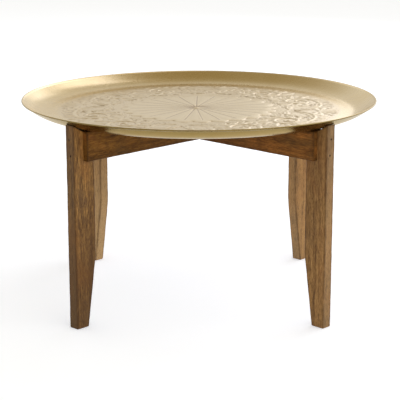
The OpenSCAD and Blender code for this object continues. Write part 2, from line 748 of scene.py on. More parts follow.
def along(line: Points, share: float) -> tuple[Points, Points]:
    """Finds a place on a line.

    Args:
        line: The line's points.
        share: How far along it, from 0 to 1, counted in its points.

    Returns:
        The point there, and the line's direction.
    """
    place = share * (len(line) - 1)
    first = min(int(place), len(line) - 2)
    run = line[first + 1] - line[first]
    return line[first] + (place - first) * run, run / np.linalg.norm(run)


def turned(direction: Points, degrees: float) -> Points:
    """A direction turned anticlockwise."""
    c, s = math.cos(math.radians(degrees)), math.sin(math.radians(degrees))
    return np.array([c * direction[0] - s * direction[1], s * direction[0] + c * direction[1]])


@dataclass(frozen=True)
class Ornament:
    """The embossing of the tray's floor: a rosette inside a ring of scrolling leaves.

    The ring is eight units, each the mirror image of the next. A unit is drawn in its own
    plane, with x to the side and y outwards from the tray's middle.
    """

    petals: int = 24
    units: int = 8
    first_unit: float = math.radians(-122)
    hub_radius: float = 6.5 * MM
    petal_tip: float = 153 * MM
    petal_shoulder: float = 138 * MM
    tongue_tip: float = 166 * MM
    ring_start: float = 172 * MM
    ring_end: float = 300 * MM
    petal_height: float = 1.9 * MM
    tongue_height: float = 1.7 * MM
    ground_height: float = 0.5 * MM
    hub_height: float = 1.7 * MM
    tongue_overlap: float = 8 * MM
    flutes: int = 40
    spiral_points: int = 34
    scroll_height: float = 1.7 * MM
    leaf_height: float = 1.3 * MM
    petal_turn: float = -0.115
    hub_off_centre: tuple[float, float] = (-6 * MM, 5 * MM)

    def scroll(self) -> list[Stroke]:
        """Draws the scroll.

        Returns:
            A stroke from its eye out round the spiral and along the stem to a leaf tip, and
            the knob in its eye.
        """
        eye = np.array([-30.0, 231.0]) * MM
        share = np.linspace(0, 1, self.spiral_points)
        angle = np.radians(90 + 500 * (1 - share))
        radius = (8 + 31 * share**0.9) * MM
        spiral = eye + radius[:, None] * np.stack([np.cos(angle), np.sin(angle)], 1)
        stem = curve(spiral[-1], *(np.array([[68, 276], [78, 190]]) * MM), 16)
        line = np.concatenate([spiral, stem[1:]])
        grow = np.linspace(0, 1, len(spiral))
        fade = np.linspace(1, 0, len(stem) - 1)
        widths = np.concatenate([(3.6 + 2.8 * grow) * MM, (1.8 + 4.6 * fade**0.7) * MM])
        knob = Stroke(np.array([eye, eye + 0.1 * MM]), np.full(2, 5.8 * MM), self.scroll_height)
        return [Stroke(line, widths, self.scroll_height), knob]

    def leaf(
        self,
        rib: Points,
        lobes: int,
        length: float,
        side: float,
        lean: float = 58,
        width: float = 5.2,
        first: float = 0.06,
        last: float = 0.9,
    ) -> list[Stroke]:
        """Lobes down one side of a rib, each a tapering stroke that curls forwards.

        Args:
            rib: The line that they grow from.
            lobes: How many there are.
            length: The longest lobe's length, in millimetres.
            side: 1 for the rib's left side, -1 for its right.
            lean: Degrees between a lobe's root and the rib.
            width: A lobe's half width at its root, in millimetres.
            first: Share of the rib at the first lobe.
            last: Share of the rib at the last lobe.

        Returns:
            The lobes.
        """
        strokes = []
        for i in range(lobes):
            share = i / max(lobes - 1, 1)
            root, ahead = along(rib, first + (last - first) * share)
            size = length * MM * (0.62 + 0.38 * math.sin(math.pi * (0.15 + 0.7 * share)))
            out = turned(ahead, side * lean)
            tip = root + size * turned(ahead, side * (lean - 16))
            line = curve(root, root + 0.55 * size * turned(out, side * 10), tip, 7)
            taper = np.linspace(0, 1, len(line))
            swell = 0.62 + 0.75 * np.sin(math.pi * taper * 0.72)
            body = width * MM * swell * (1 - 0.85 * taper**3)
            strokes.append(Stroke(line, body, self.leaf_height * (1 - 0.12 * (i % 2))))
        return strokes

    def rib(self, line: Points, width: float) -> Stroke:
        """A leaf's rib, which thins towards its tip; the width is in millimetres."""
        return Stroke(line, np.linspace(width, width * 0.35, len(line)) * MM, self.scroll_height)

    def fan(
        self, foot: Sequence[float], length: float, rays: int, spread: float, axis: float
    ) -> list[Stroke]:
        """A palmette: rays that open from a foot.

        Args:
            foot: Where it grows from, in millimetres.
            length: The middle ray's length, in millimetres.
            rays: How many rays there are.
            spread: Degrees from the first ray to the last.
            axis: The middle ray's direction, in degrees from the unit's own outward one.

        Returns:
            The rays.
        """
        base = np.array(foot) * MM
        strokes = []
        for i in range(rays):
            share = i / (rays - 1) - 0.5
            out = turned(np.array([0.0, 1.0]), axis + share * spread)
            reach = length * MM * (1 - 0.55 * abs(share))
            curl = turned(out, share * 60)
            tip = base + reach * (0.6 * out + 0.4 * curl)
            line = curve(base + 3 * MM * out, base + 0.6 * reach * out, tip)
            taper = np.linspace(0, 1, len(line))
            body = (1.8 + 5.2 * np.sin(math.pi * taper**0.85 * 0.86)) * MM
            strokes.append(Stroke(line, body, self.leaf_height))
        return strokes

    def unit(self) -> list[Stroke]:
        """Draws one unit of the ring.

        Returns:
            Every stroke of it.
        """
        scroll = self.scroll()
        line = scroll[0].line
        outside = line[14:self.spiral_points]
        stem = line[self.spiral_points - 1:]
        inner_rib = curve(*(np.array([[60, 182], [12, 176], [18, 250]]) * MM), 14)
        side_rib = curve(*(np.array([[-64, 178], [-34, 172], [-2, 186]]) * MM), 10)
        strokes = [*scroll, self.rib(inner_rib, 3.8), self.rib(side_rib, 3.2)]
        strokes += self.leaf(outside, 10, 42, 1, lean=70, width=7.0, first=0.0, last=0.98)
        strokes += self.leaf(stem, 6, 36, 1, lean=60, width=6.6, first=0.04, last=0.66)
        strokes += self.leaf(stem, 6, 27, -1, lean=48, width=5.2, first=0.16, last=0.86)
        strokes += self.leaf(inner_rib, 6, 34, -1, lean=46, width=5.6, first=0.04, last=0.8)
        strokes += self.leaf(inner_rib, 5, 18, 1, lean=58, width=4.4, first=0.25, last=0.9)
        strokes += self.leaf(side_rib, 5, 18, 1, lean=56, width=4.2)
        strokes += self.leaf(side_rib, 4, 12, -1, lean=52, width=3.4)
        strokes += self.fan((97, 236), 62, 9, 190, -22.5)
        strokes += self.fan((-71, 174), 36, 5, 110, 22.5)
        return strokes

    def folded(self, places: Points) -> tuple[Points, np.ndarray]:
        """Folds the ring onto one unit.

        Args:
            places: Places on the tray's floor.

        Returns:
            The same places in the unit's plane, and their distance from the tray's middle.
        """
        x, y = places.T
        reach = np.hypot(x, y)
        sway = 0.012 * np.sin(3 * np.arctan2(y, x) + 0.8) + 0.006 * np.sin(7 * np.arctan2(y, x))
        step = 2 * math.pi / self.units
        angle = np.arctan2(y, x) + sway - self.first_unit
        number = np.round(angle / step)
        inside = (angle - number * step) * np.where(number % 2 == 0, 1.0, -1.0)
        outward = reach * (1 + 0.006 * np.sin(2 * np.arctan2(y, x) + 2.0))
        return np.stack([outward * np.sin(inside), outward * np.cos(inside)], 1), reach

    def hub_polar(self, places: Points) -> tuple[np.ndarray, np.ndarray]:
        """Measures from the hub, which lies a little off the tray's middle.

        Args:
            places: Places on the tray's floor.

        Returns:
            Their distance and direction from the hub.
        """
        x, y = places.T
        pull = np.clip(1 - np.hypot(x, y) / self.petal_tip, 0, 1)
        x, y = x - self.hub_off_centre[0] * pull, y - self.hub_off_centre[1] * pull
        angle = np.arctan2(y, x) + 2 * math.pi / self.petals * self.petal_turn
        return np.hypot(x, y), angle + 0.02 * np.sin(5 * angle + 1.0)

    def petal_row(
        self,
        relief: Relief,
        places: Points,
        offset: float,
        shoulder: float,
        tip: float,
        height: float,
    ) -> None:
        """Lays a row of petals round the hub.

        Args:
            relief: The relief, which is changed.
            places: Places on the tray's floor.
            offset: The first petal's angle, in petals.
            shoulder: Where a petal is widest.
            tip: Where it ends.
            height: How high it stands.
        """
        reach, angle = self.hub_polar(places)
        half = math.pi / self.petals
        aside = reach * np.abs((angle / half + 2 * offset) % 2 - 1) * half
        closing = np.clip((reach - shoulder) / (tip - shoulder), 0, 1)
        width = np.minimum(reach, shoulder + 4 * MM) * half * np.sqrt(np.clip(1 - closing**2.6, 0, 1))
        rise = np.clip(1 - (aside / np.maximum(width, 0.2 * MM)) ** 2.3, 0, 1) ** 0.6
        raised = height * rise * eased(reach, 5 * MM, 30 * MM) * (closing < 1) * (1 - closing**2 / 2)
        within = (aside < width) & (closing < 1)
        relief.lay(slice(None), raised, np.where(within, relief.apron, -relief.apron))

    def groove(self, places: Points) -> np.ndarray:
        """Measures from the grooves between the petals.

        Args:
            places: Places on the tray's floor.

        Returns:
            How far each lies to one side of the nearest groove, or below zero to the other.
        """
        reach, angle = self.hub_polar(places)
        half_count = self.petals / 2
        return reach * np.sin(half_count * angle) / half_count

    def ground(self, unit_places: Points, reach: np.ndarray) -> np.ndarray:
        """Fills the ring between its leaves with low curling flutes.

        Args:
            unit_places: Places in the unit's plane.
            reach: Their distance from the tray's middle.

        Returns:
            How high the flutes stand at each.
        """
        angle = np.arctan2(*unit_places.T)
        curl = 0.16 * np.sin((reach - self.ring_start) / (19 * MM)) + 1.1 * (reach - self.ring_start)
        flute = np.abs(np.sin(self.flutes * (angle + curl)))
        within = eased(reach, self.tongue_tip - self.tongue_overlap, self.tongue_tip + 4 * MM)
        within *= 1 - eased(reach, self.ring_end - 24 * MM, self.ring_end)
        return self.ground_height * flute**0.7 * within

    def relief(self, places: Points) -> Relief:
        """The embossing above the tray's flat floor.

        Args:
            places: Places on the floor, in metres from its middle.

        Returns:
            The relief at each place.
        """
        unit_places, reach = self.folded(places)
        relief = Relief(len(places))
        for stroke in self.unit():
            stroke.raise_over(relief, unit_places)
        within = eased(reach, self.ring_start - 4 * MM, self.ring_start + 2 * MM)
        relief.keep(within * (1 - eased(reach, self.ring_end - 10 * MM, self.ring_end)))
        self.petal_row(relief, places, 0.0, self.petal_shoulder, self.petal_tip, self.petal_height)
        tongue_shoulder = self.petal_tip - self.tongue_overlap
        self.petal_row(relief, places, 0.5, tongue_shoulder, self.tongue_tip, self.tongue_height)
        hub_gap = self.hub_radius - np.hypot(*(places - np.array(self.hub_off_centre)).T)
        dome = np.sqrt(np.clip(hub_gap * (2 * self.hub_radius - hub_gap), 0, None))
        relief.lay(slice(None), self.hub_height * dome / self.hub_radius, hub_gap)
        relief.height = np.maximum(relief.height, self.ground(unit_places, reach))
        return relief

    def chased(self, places: Points) -> np.ndarray:
        """How far the chasing tools have worked each place, from 0 to 1."""
        reach = np.hypot(*places.T)
        return 1 - eased(reach, self.ring_end - 6 * MM, self.ring_end + 6 * MM)


# --- The tray itself ------------------------------------------------------------------------


def disc_count(rings: int) -> int:
    """How many points a disc has whose ring k has 6 k, after one in the middle."""
    return 1 + 3 * rings * (rings + 1)


def disc_faces(rings: int, first: int) -> list[tuple[int, int, int]]:
    """Joins such a disc's points with triangles.

    Args:
        rings: How many rings there are.
        first: The number of the middle point.

    Returns:
        The triangles, anticlockwise.
    """
    faces: list[tuple[int, int, int]] = []
    for k in range(rings):
        inner, outer = first + (disc_count(k - 1) if k else 0), first + disc_count(k)
        inner_count, outer_count = max(6 * k, 1), 6 * (k + 1)
        for sector in range(6):
            i = np.arange(k + 1)
            a = outer + (sector * (k + 1) + i) % outer_count
            b = outer + (sector * (k + 1) + i + 1) % outer_count
            c = inner + (sector * k + i) % inner_count
            faces += zip(a.tolist(), b.tolist(), c.tolist())
            i = np.arange(k)
            a = inner + (sector * k + i) % inner_count
            b = outer + (sector * (k + 1) + i + 1) % outer_count
            c = inner + (sector * k + i + 1) % inner_count
            faces += zip(a.tolist(), b.tolist(), c.tolist())
    return faces


def disc_places(rings: int, radius: float) -> Points:
    """Places the points that disc_faces joins.

    Args:
        rings: How many rings there are.
        radius: The last ring's radius.

    Returns:
        The places, from the middle outwards.
    """
    places = [np.zeros((1, 2))]
    for k in range(1, rings + 1):
        angle = 2 * math.pi * np.arange(6 * k) / (6 * k)
        places.append(radius * k / rings * np.stack([np.cos(angle), np.sin(angle)], 1))
    return np.concatenate(places)


@dataclass
class EmbossedTray:
    """The loose brass tray: an embossed flat floor, a cove, a plain flare and a rounded edge."""

    node: str = "tray"
    sheet: float = 1.5 * MM
    cove_radius: float = 74 * MM
    flare_angle: float = math.radians(36)
    edge: float = 2.6 * MM
    worked_radius: float = 304 * MM
    top_rings: int = 150
    under_rings: int = 75
    warp: float = 0.7 * MM
    showing_below: float = 0.55
    ornament: Ornament = field(default_factory=Ornament)
    finish: PaleBrass = field(default_factory=PaleBrass)

    def section(self) -> list[tuple[float, float]]:
        """Draws the sheet's side.

        Returns:
            Its outline as radius and height, from the floor round the edge to underneath.
        """
        low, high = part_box(self.node)
        radius, rim, underside = high[0], high[2], low[2]
        floor = underside + self.sheet
        slope = np.array([math.sin(self.flare_angle), -math.cos(self.flare_angle)])
        edge_middle = np.array([radius - self.edge / 2, rim - self.edge / 2])
        flare_end = edge_middle - self.sheet / 2 * slope
        rise = flare_end[1] - floor - self.cove_radius * (1 + slope[1])
        flat = flare_end[0] - rise / math.tan(self.flare_angle) - self.cove_radius * slope[0]
        centre = np.array([flat, floor + self.cove_radius])

        def cove(reach: float) -> list[Points]:
            """The arc between the floor and the flare."""
            angles = np.linspace(0, self.flare_angle, 9)
            return [centre + reach * np.array([math.sin(a), -math.cos(a)]) for a in angles]

        wrap = math.pi - math.asin(self.sheet / self.edge)
        turns = self.flare_angle + wrap * np.linspace(1, -1, 11)
        bead = [edge_middle + self.edge / 2 * np.array([math.cos(a), math.sin(a)]) for a in turns]
        inside, outside = cove(self.cove_radius), cove(self.cove_radius + self.sheet)
        middle = [inside[-1] + share * (flare_end - inside[-1]) for share in (0.35, 0.7)]
        under = [point + self.sheet * slope for point in reversed(middle)]
        return [tuple(point) for point in (*inside, *middle, *bead, *under, *reversed(outside))]

    def worn(self, points: Points) -> Points:
        """Bends the flare very slightly in and down, as hand spinning leaves it.

        Args:
            points: The tray's points.

        Returns:
            The bent points.
        """
        _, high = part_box(self.node)
        reach = np.hypot(points[:, 0], points[:, 1])
        angle = np.arctan2(points[:, 1], points[:, 0])
        out = eased(reach, self.worked_radius, high[0])
        sway = 0.5 + 0.28 * np.sin(2 * angle + 0.7) + 0.22 * np.sin(3 * angle + 2.1)
        bent = points.copy()
        bent[:, 2] -= self.warp * sway * out
        shrink = 1 - 0.35 * self.warp * sway * out / high[0]
        bent[:, :2] *= shrink[:, None]
        return bent

    def mesh(self) -> tuple[Points, list, Relief]:
        """Makes the tray's skin.

        Returns:
            Its points, its faces, and the embossing of its top.
        """
        low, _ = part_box(self.node)
        floor = low[2] + self.sheet
        top = disc_places(self.top_rings, self.worked_radius)
        under = disc_places(self.under_rings, self.worked_radius)
        relief = self.ornament.relief(top)
        hollowed = self.showing_below * self.ornament.relief(under).height
        count = 6 * self.under_rings
        angle = 2 * math.pi * np.arange(count) / count
        rings = [
            np.stack([r * np.cos(angle), r * np.sin(angle), np.full(count, z)], 1)
            for r, z in self.section()
        ]
        points = np.concatenate([
            np.column_stack([top, floor + relief.height]),
            *rings,
            np.column_stack([under, low[2] + hollowed]),
        ])
        return self.worn(points), self.faces(len(rings)), relief

    def faces(self, side_rings: int) -> list[Sequence[int]]:
        """Joins the tray's points: the top, the rings of its side, and the underneath.

        Args:
            side_rings: How many rings the side has.

        Returns:
            The faces. The top's last ring has two points for each of the side's.
        """
        faces: list[Sequence[int]] = list(disc_faces(self.top_rings, 0))
        count = 6 * self.under_rings
        starts = [disc_count(self.top_rings) + k * count for k in range(side_rings + 1)]
        j = np.arange(count)
        top_rim = starts[0] - 2 * count
        a, b, c = top_rim + 2 * j, top_rim + 2 * j + 1, top_rim + (2 * j + 2) % (2 * count)
        out_a, out_b = starts[0] + j, starts[0] + (j + 1) % count
        for near, far, tip in ((a, out_a, b), (b, out_a, out_b), (b, out_b, c)):
            faces += zip(near.tolist(), far.tolist(), tip.tolist())
        for near, far in zip(starts[:-2], starts[1:-1]):
            faces += bridge(near, far, count)
        under_rim = starts[-1] + disc_count(self.under_rings - 1)
        faces += bridge(starts[-2], under_rim, count)
        faces += [face[::-1] for face in disc_faces(self.under_rings, starts[-1])]
        return faces

    @staticmethod
    def hollows(piece: bpy.types.Object, heights: np.ndarray) -> np.ndarray:
        """Finds the hollows of the embossing.

        Args:
            piece: The tray.
            heights: Each of its points' height above the plain sheet.

        Returns:
            How far each point lies below those round it, in metres.
        """
        edges = np.empty(len(piece.data.edges) * 2, np.int32)
        piece.data.edges.foreach_get("vertices", edges)
        a, b = edges.reshape(-1, 2).T
        links = np.maximum(np.bincount(np.concatenate([a, b]), minlength=len(heights)), 1)
        around = heights.copy()
        for _ in range(3):
            total = np.bincount(a, around[b], len(heights)) + np.bincount(b, around[a], len(heights))
            around = total / links
        return around - heights

    def ring_numbers(self, count: int) -> np.ndarray:
        """Tells the rings of the section apart.

        Args:
            count: How many points the tray has.

        Returns:
            Which ring each is on, counted from the middle of the edge.
        """
        ring = (np.arange(count) - disc_count(self.top_rings)) // (6 * self.under_rings)
        return ring - (len(self.section()) - 1) / 2

    def build(self) -> bpy.types.Object:
        """Builds and dresses the tray.

        Returns:
            The tray.
        """
        points, faces, relief = self.mesh()
        piece = make_piece("embossed_tray", points, faces)
        heights = np.pad(relief.height, (0, len(points) - len(relief.height)))
        outside = (0, len(points) - len(relief.inside))
        ring = self.ring_numbers(len(points))
        hold(piece, "hollow", np.clip(self.hollows(piece, heights) / (0.5 * MM), 0, 1))
        hold(piece, "crown", np.clip(heights / self.ornament.petal_height, 0, 1))
        hold(piece, "chased", self.ornament.chased(points[:, :2]))
        hold(piece, "outline", np.pad(relief.inside, outside, constant_values=-relief.apron) / MM)
        hold(piece, "groove", self.ornament.groove(points[:, :2]) / MM)
        # The underside, where the material thins the lacquer and paints shade.
        hold(piece, "underneath", np.clip(0.5 + ring / 4, 0, 1))
        # Where the painted shade line under the rim's bead falls.
        hold(piece, "bead_shade", np.clip(1.6 - np.abs(ring - 2) / 4, 0, 1))
        piece.data.materials.append(self.finish.material())
        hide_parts(self.node)
        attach(piece, "tray")
        return piece


# --- The stand ------------------------------------------------------------------------------


@dataclass(frozen=True)
class StandSizes:
    """Sizes that the boards of the stand share, in metres."""

    leg_outer: float = 361 * MM
    leg_thickness: float = 24 * MM
    leg_width: float = 53 * MM
    foot_width: float = 31 * MM
    knee: float = 147 * MM
    top_drop: float = 14.5 * MM
    foot_chamfer: float = 2 * MM
    bar_end: float = 336 * MM
    bar_thickness: float = 28 * MM
    bar_proud: float = 12 * MM
    joint_gap: float = 0.3 * MM
    arris: float = 1.8 * MM

    @property
    def bar_face(self) -> float:
        """A bar's show face, from the middle of its legs."""
        return self.leg_thickness / 2 + self.bar_proud

    @property
    def bar_back(self) -> float:
        """A bar's hidden face, from the middle of its legs."""
        return self.bar_face - self.bar_thickness


class Frame(Enum):
    """The two frames of the stand, named as the bodies that they ride on."""

    LOWER = "lower_frame"
    UPPER = "upper_frame"


def rounded_ring(
    half_out: float, half_through: float, corner: float, sides: tuple[int, int]
) -> Points:
    """Points round a board's cross-section, which has rounded corners.

    Args:
        half_out: Half its width.
        half_through: Half its thickness.
        corner: The corners' radius.
        sides: Steps along the width and along the thickness.

    Returns:
        The points, anticlockwise, with the width first.
    """
    corner = min(corner, 0.95 * half_out, 0.95 * half_through)
    turns = np.linspace(0, math.pi / 2, 5)
    middles = [(1, -1), (1, 1), (-1, 1), (-1, -1)]
    ring: list[Points] = []
    for number, (sx, sy) in enumerate(middles):
        middle = np.array([sx * (half_out - corner), sy * (half_through - corner)])
        start = -math.pi / 2 + number * math.pi / 2
        arc = [middle + corner * np.array([math.cos(start + t), math.sin(start + t)]) for t in turns]
        ring += arc
        nx, ny = middles[(number + 1) % 4]
        next_middle = np.array([nx * (half_out - corner), ny * (half_through - corner)])
        next_start = start + math.pi / 2
        target = next_middle + corner * np.array([math.cos(next_start), math.sin(next_start)])
        steps = sides[1] if number % 2 == 0 else sides[0]
        ring += [arc[-1] + (target - arc[-1]) * i / steps for i in range(1, steps)]
    return np.array(ring)


def loft(rings: Sequence[Points]) -> tuple[Points, list[Sequence[int]]]:
    """Joins rings into a closed skin with flat ends.

    Args:
        rings: Rings that run anticlockwise in a board's own directions, which are left-handed.

    Returns:
        The skin's points and faces.
    """
    count = len(rings[0])
    faces: list[Sequence[int]] = [list(range(count))]
    for k in range(len(rings) - 1):
        faces += bridge(k * count, (k + 1) * count, count)
    faces.append([len(rings) * count - 1 - i for i in range(count)])
    return np.concatenate(rings), faces


def hand_planed(share: np.ndarray, seed: float) -> np.ndarray:
    """A slow unevenness along a board's face, the same each time.

    Args:
        share: How far along the board.
        seed: Which board it is.

    Returns:
        The unevenness, from 0 to 1.
    """
    waves = np.sin(5.1 * share + seed) + 0.6 * np.sin(11.7 * share + 2.3 * seed)
    waves = waves + 0.35 * np.sin(23 * share + 4 * seed)
    return np.clip(0.5 + waves / 3.9, 0, 1)


def stand_up(board: Points, bearing: float) -> Points:
    """Turns a board's points to its bearing.

    Args:
        board: Points as distance from the table's axis, offset through the board and height.
        bearing: The board's direction, in radians round +Z from +X.

    Returns:
        The points in the row's frame.
    """
    out, through, up = board.T
    c, s = math.cos(bearing), math.sin(bearing)
    return np.stack([out * c + through * s, out * s - through * c, up], 1)


def laid_down(points: Points, bearing: float) -> tuple[np.ndarray, np.ndarray]:
    """Undoes stand_up.

    Args:
        points: Points in the row's frame.
        bearing: The board's direction.

    Returns:
        Each point's distance from the table's axis, and its offset through the board.
    """
    x, y, _ = points.T
    c, s = math.cos(bearing), math.sin(bearing)
    return x * c + y * s, x * s - y * c


def block(
    name: str, low: Sequence[float], high: Sequence[float], bearing: float
) -> bpy.types.Object:
    """Makes a plain cutting block.

    Args:
        name: The block's name.
        low: Its lowest corner, in a board's own directions.
        high: Its highest corner.
        bearing: The board's direction.

    Returns:
        The block.
    """
    corners = np.array([[(low, high)[(i >> axis) & 1][axis] for axis in range(3)] for i in range(8)])
    faces = [(0, 1, 3, 2), (4, 6, 7, 5), (0, 4, 5, 1), (2, 3, 7, 6), (0, 2, 6, 4), (1, 5, 7, 3)]
    return make_piece(name, stand_up(corners, bearing), faces)


def drill(
    name: str, mouth: Sequence[float], depth: float, radius: float, bearing: float
) -> bpy.types.Object:
    """Makes a round cutter that goes in from a board's outer edge towards the table's axis.

    Args:
        name: The cutter's name.
        mouth: The middle of the hole's mouth, in the board's own directions.
        depth: How deep it goes.
        radius: The hole's radius.
        bearing: The board's direction.

    Returns:
        The cutter.
    """
    angle = 2 * math.pi * np.arange(DRILL_SIDES) / DRILL_SIDES
    through, up = mouth[1] + radius * np.cos(angle), mouth[2] + radius * np.sin(angle)
    ends = [
        np.stack([np.full(DRILL_SIDES, out), through, up], 1)
        for out in (mouth[0] - depth, mouth[0] + MM)
    ]
    points, faces = loft(ends)
    return make_piece(name, stand_up(points, bearing), faces)


@dataclass
class PlankLeg:
    """One tapered plank leg, housed for its bar and pierced for its two nails."""

    node: str
    frame: Frame
    bearing: float
    side: float
    finish: MangoWood
    seed: float
    bar_node: str
    sizes: StandSizes = field(default_factory=StandSizes)
    steps: int = 84
    unevenness: float = 0.35 * MM
    soft_knee: float = 12 * MM
    crown_from: float = 300 * MM
    top_arris: float = 1.2 * MM
    nail_radius: float = 2.27 * MM
    nail_depth: float = 3.3 * MM
    nail_drops: tuple[float, float] = (15 * MM, 47 * MM)
    nail_offsets: tuple[float, float] = (-1 * MM, 2 * MM)

    def reach(self, up: float) -> tuple[float, float]:
        """Finds the leg's edges.

        Args:
            up: The height above the floor.

        Returns:
            Its inner and outer edges there, from the table's axis.
        """
        size = self.sizes
        below = size.knee - up
        soft = self.soft_knee
        if abs(below) < soft:
            below = (below + soft) ** 2 / (4 * soft)
        width = size.leg_width - (size.leg_width - size.foot_width) * max(below, 0.0) / size.knee
        return size.leg_outer - width, size.leg_outer

    def top_at(self, out: np.ndarray, bar_top: float) -> np.ndarray:
        """Finds the height of the leg's sloping top.

        Args:
            out: Distances from the table's axis.
            bar_top: The height of the bar's top.

        Returns:
            The leg's top at each distance.
        """
        size = self.sizes
        slope = np.clip((out - size.bar_end) / (size.leg_outer - size.bar_end), 0, 1)
        return bar_top + size.top_drop * slope

    def rings(self, bar_top: float) -> list[Points]:
        """Draws the leg's cross-sections.

        Args:
            bar_top: The height of the bar's top.

        Returns:
            The cross-sections, from the floor up.
        """
        size = self.sizes
        half = size.leg_thickness / 2
        foot, top = size.foot_chamfer, self.top_arris
        crown = bar_top + size.top_drop
        # Each station is a height, how far the skin is drawn in there, and how far it drops.
        stations = [
            (foot * (1 - math.cos(turn)), foot * (1 - math.sin(turn)), 0.0)
            for turn in np.linspace(0, math.pi / 2, 5)
        ]
        stations += [(up, 0.0, 0.0) for up in np.linspace(8 * MM, crown - 4 * MM, self.steps)]
        stations += [
            (crown, top * (1 - math.cos(turn)), top * (1 - math.sin(turn)))
            for turn in np.linspace(0, math.pi / 2, 4)
        ]
        stations += [(crown, inset * MM, 0.0) for inset in (3.5, 6.5, 9.5, 11.6)]
        rings = []
        for up, inset, drop in stations:
            inner, outer = self.reach(up)
            share = up / crown
            corner = size.arris * (0.75 + 0.6 * float(hand_planed(np.array(9 * share), self.seed)))
            corner = max(corner - inset * 0.5, SMALLEST_CORNER)
            ring = rounded_ring((outer - inner) / 2 - inset, half - inset, corner, (12, 6))
            out = ring[:, 0] + (outer + inner) / 2
            through = ring[:, 1]
            sunk = self.unevenness * hand_planed(share * 2.2 + out * 30, self.seed)
            through = through * (1 - sunk / half)
            edge_sunk = self.unevenness * hand_planed(share * 2.8 + through * 20, self.seed + 1.7)
            out = out - ring[:, 0] * edge_sunk * 2 / (outer - inner)
            height = np.full(len(ring), up)
            if up > self.crown_from:
                rise = min((up - self.crown_from) / (crown - self.crown_from), 1)
                height = self.crown_from + (self.top_at(out, bar_top) - self.crown_from) * rise
            rings.append(np.stack([out, through, height - drop], 1))
        return rings

    def build(self) -> bpy.types.Object:
        """Builds and dresses the leg.

        Returns:
            The leg.
        """
        size = self.sizes
        bar_low, bar_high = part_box(self.bar_node)
        points, faces = loft(self.rings(bar_high[2]))
        piece = make_piece(f"{self.node}_plank", stand_up(points, self.bearing), faces)
        past_face = size.leg_thickness + size.bar_face
        back, front = sorted((self.side * size.bar_back, self.side * past_face))
        inner = size.leg_outer - size.leg_width
        low = (inner - 5 * MM, back, bar_low[2])
        high = (size.bar_end, front, bar_high[2] + size.top_drop)
        tools = [block("housing", low, high, self.bearing)]
        for drop, offset in zip(self.nail_drops, self.nail_offsets):
            mouth = (size.leg_outer, self.side * offset, bar_high[2] - drop)
            tools.append(drill("nail_hole", mouth, self.nail_depth, self.nail_radius, self.bearing))
        cut_away(piece, tools)
        self.mark_arris(piece)
        piece.data.materials.append(self.finish.material())
        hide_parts(self.node)
        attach(piece, self.frame.value)
        return piece

    def mark_arris(self, piece: bpy.types.Object) -> None:
        """Stores how near each point is to a long arris, and whether it is on a narrow face or the top.

        Args:
            piece: The leg, which is changed.
        """
        size = self.sizes
        points = points_of(piece)
        out, through = laid_down(points, self.bearing)
        inner = np.array([self.reach(up)[0] for up in points[:, 2]])
        side_gap = size.leg_thickness / 2 - np.abs(through)
        edge_gap = np.minimum(size.leg_outer - out, out - inner)
        corner_gap = np.hypot(side_gap, edge_gap)
        hold(piece, "arris", np.exp(-((corner_gap / ARRIS_SHARE) ** 2)))
        # The narrow faces, on which the wood paints light and shade.
        hold(piece, "narrow_face", 1 - eased(edge_gap, 0.4 * MM, 1.4 * MM))
        bar_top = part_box(self.bar_node)[1][2]
        below_top = self.top_at(out, bar_top) - points[:, 2]
        # The leg's top: end grain, darkened also as painted contact shadow under the tray.
        hold(piece, "end_grain", 1 - eased(below_top, 0.4 * MM, 2.2 * MM))


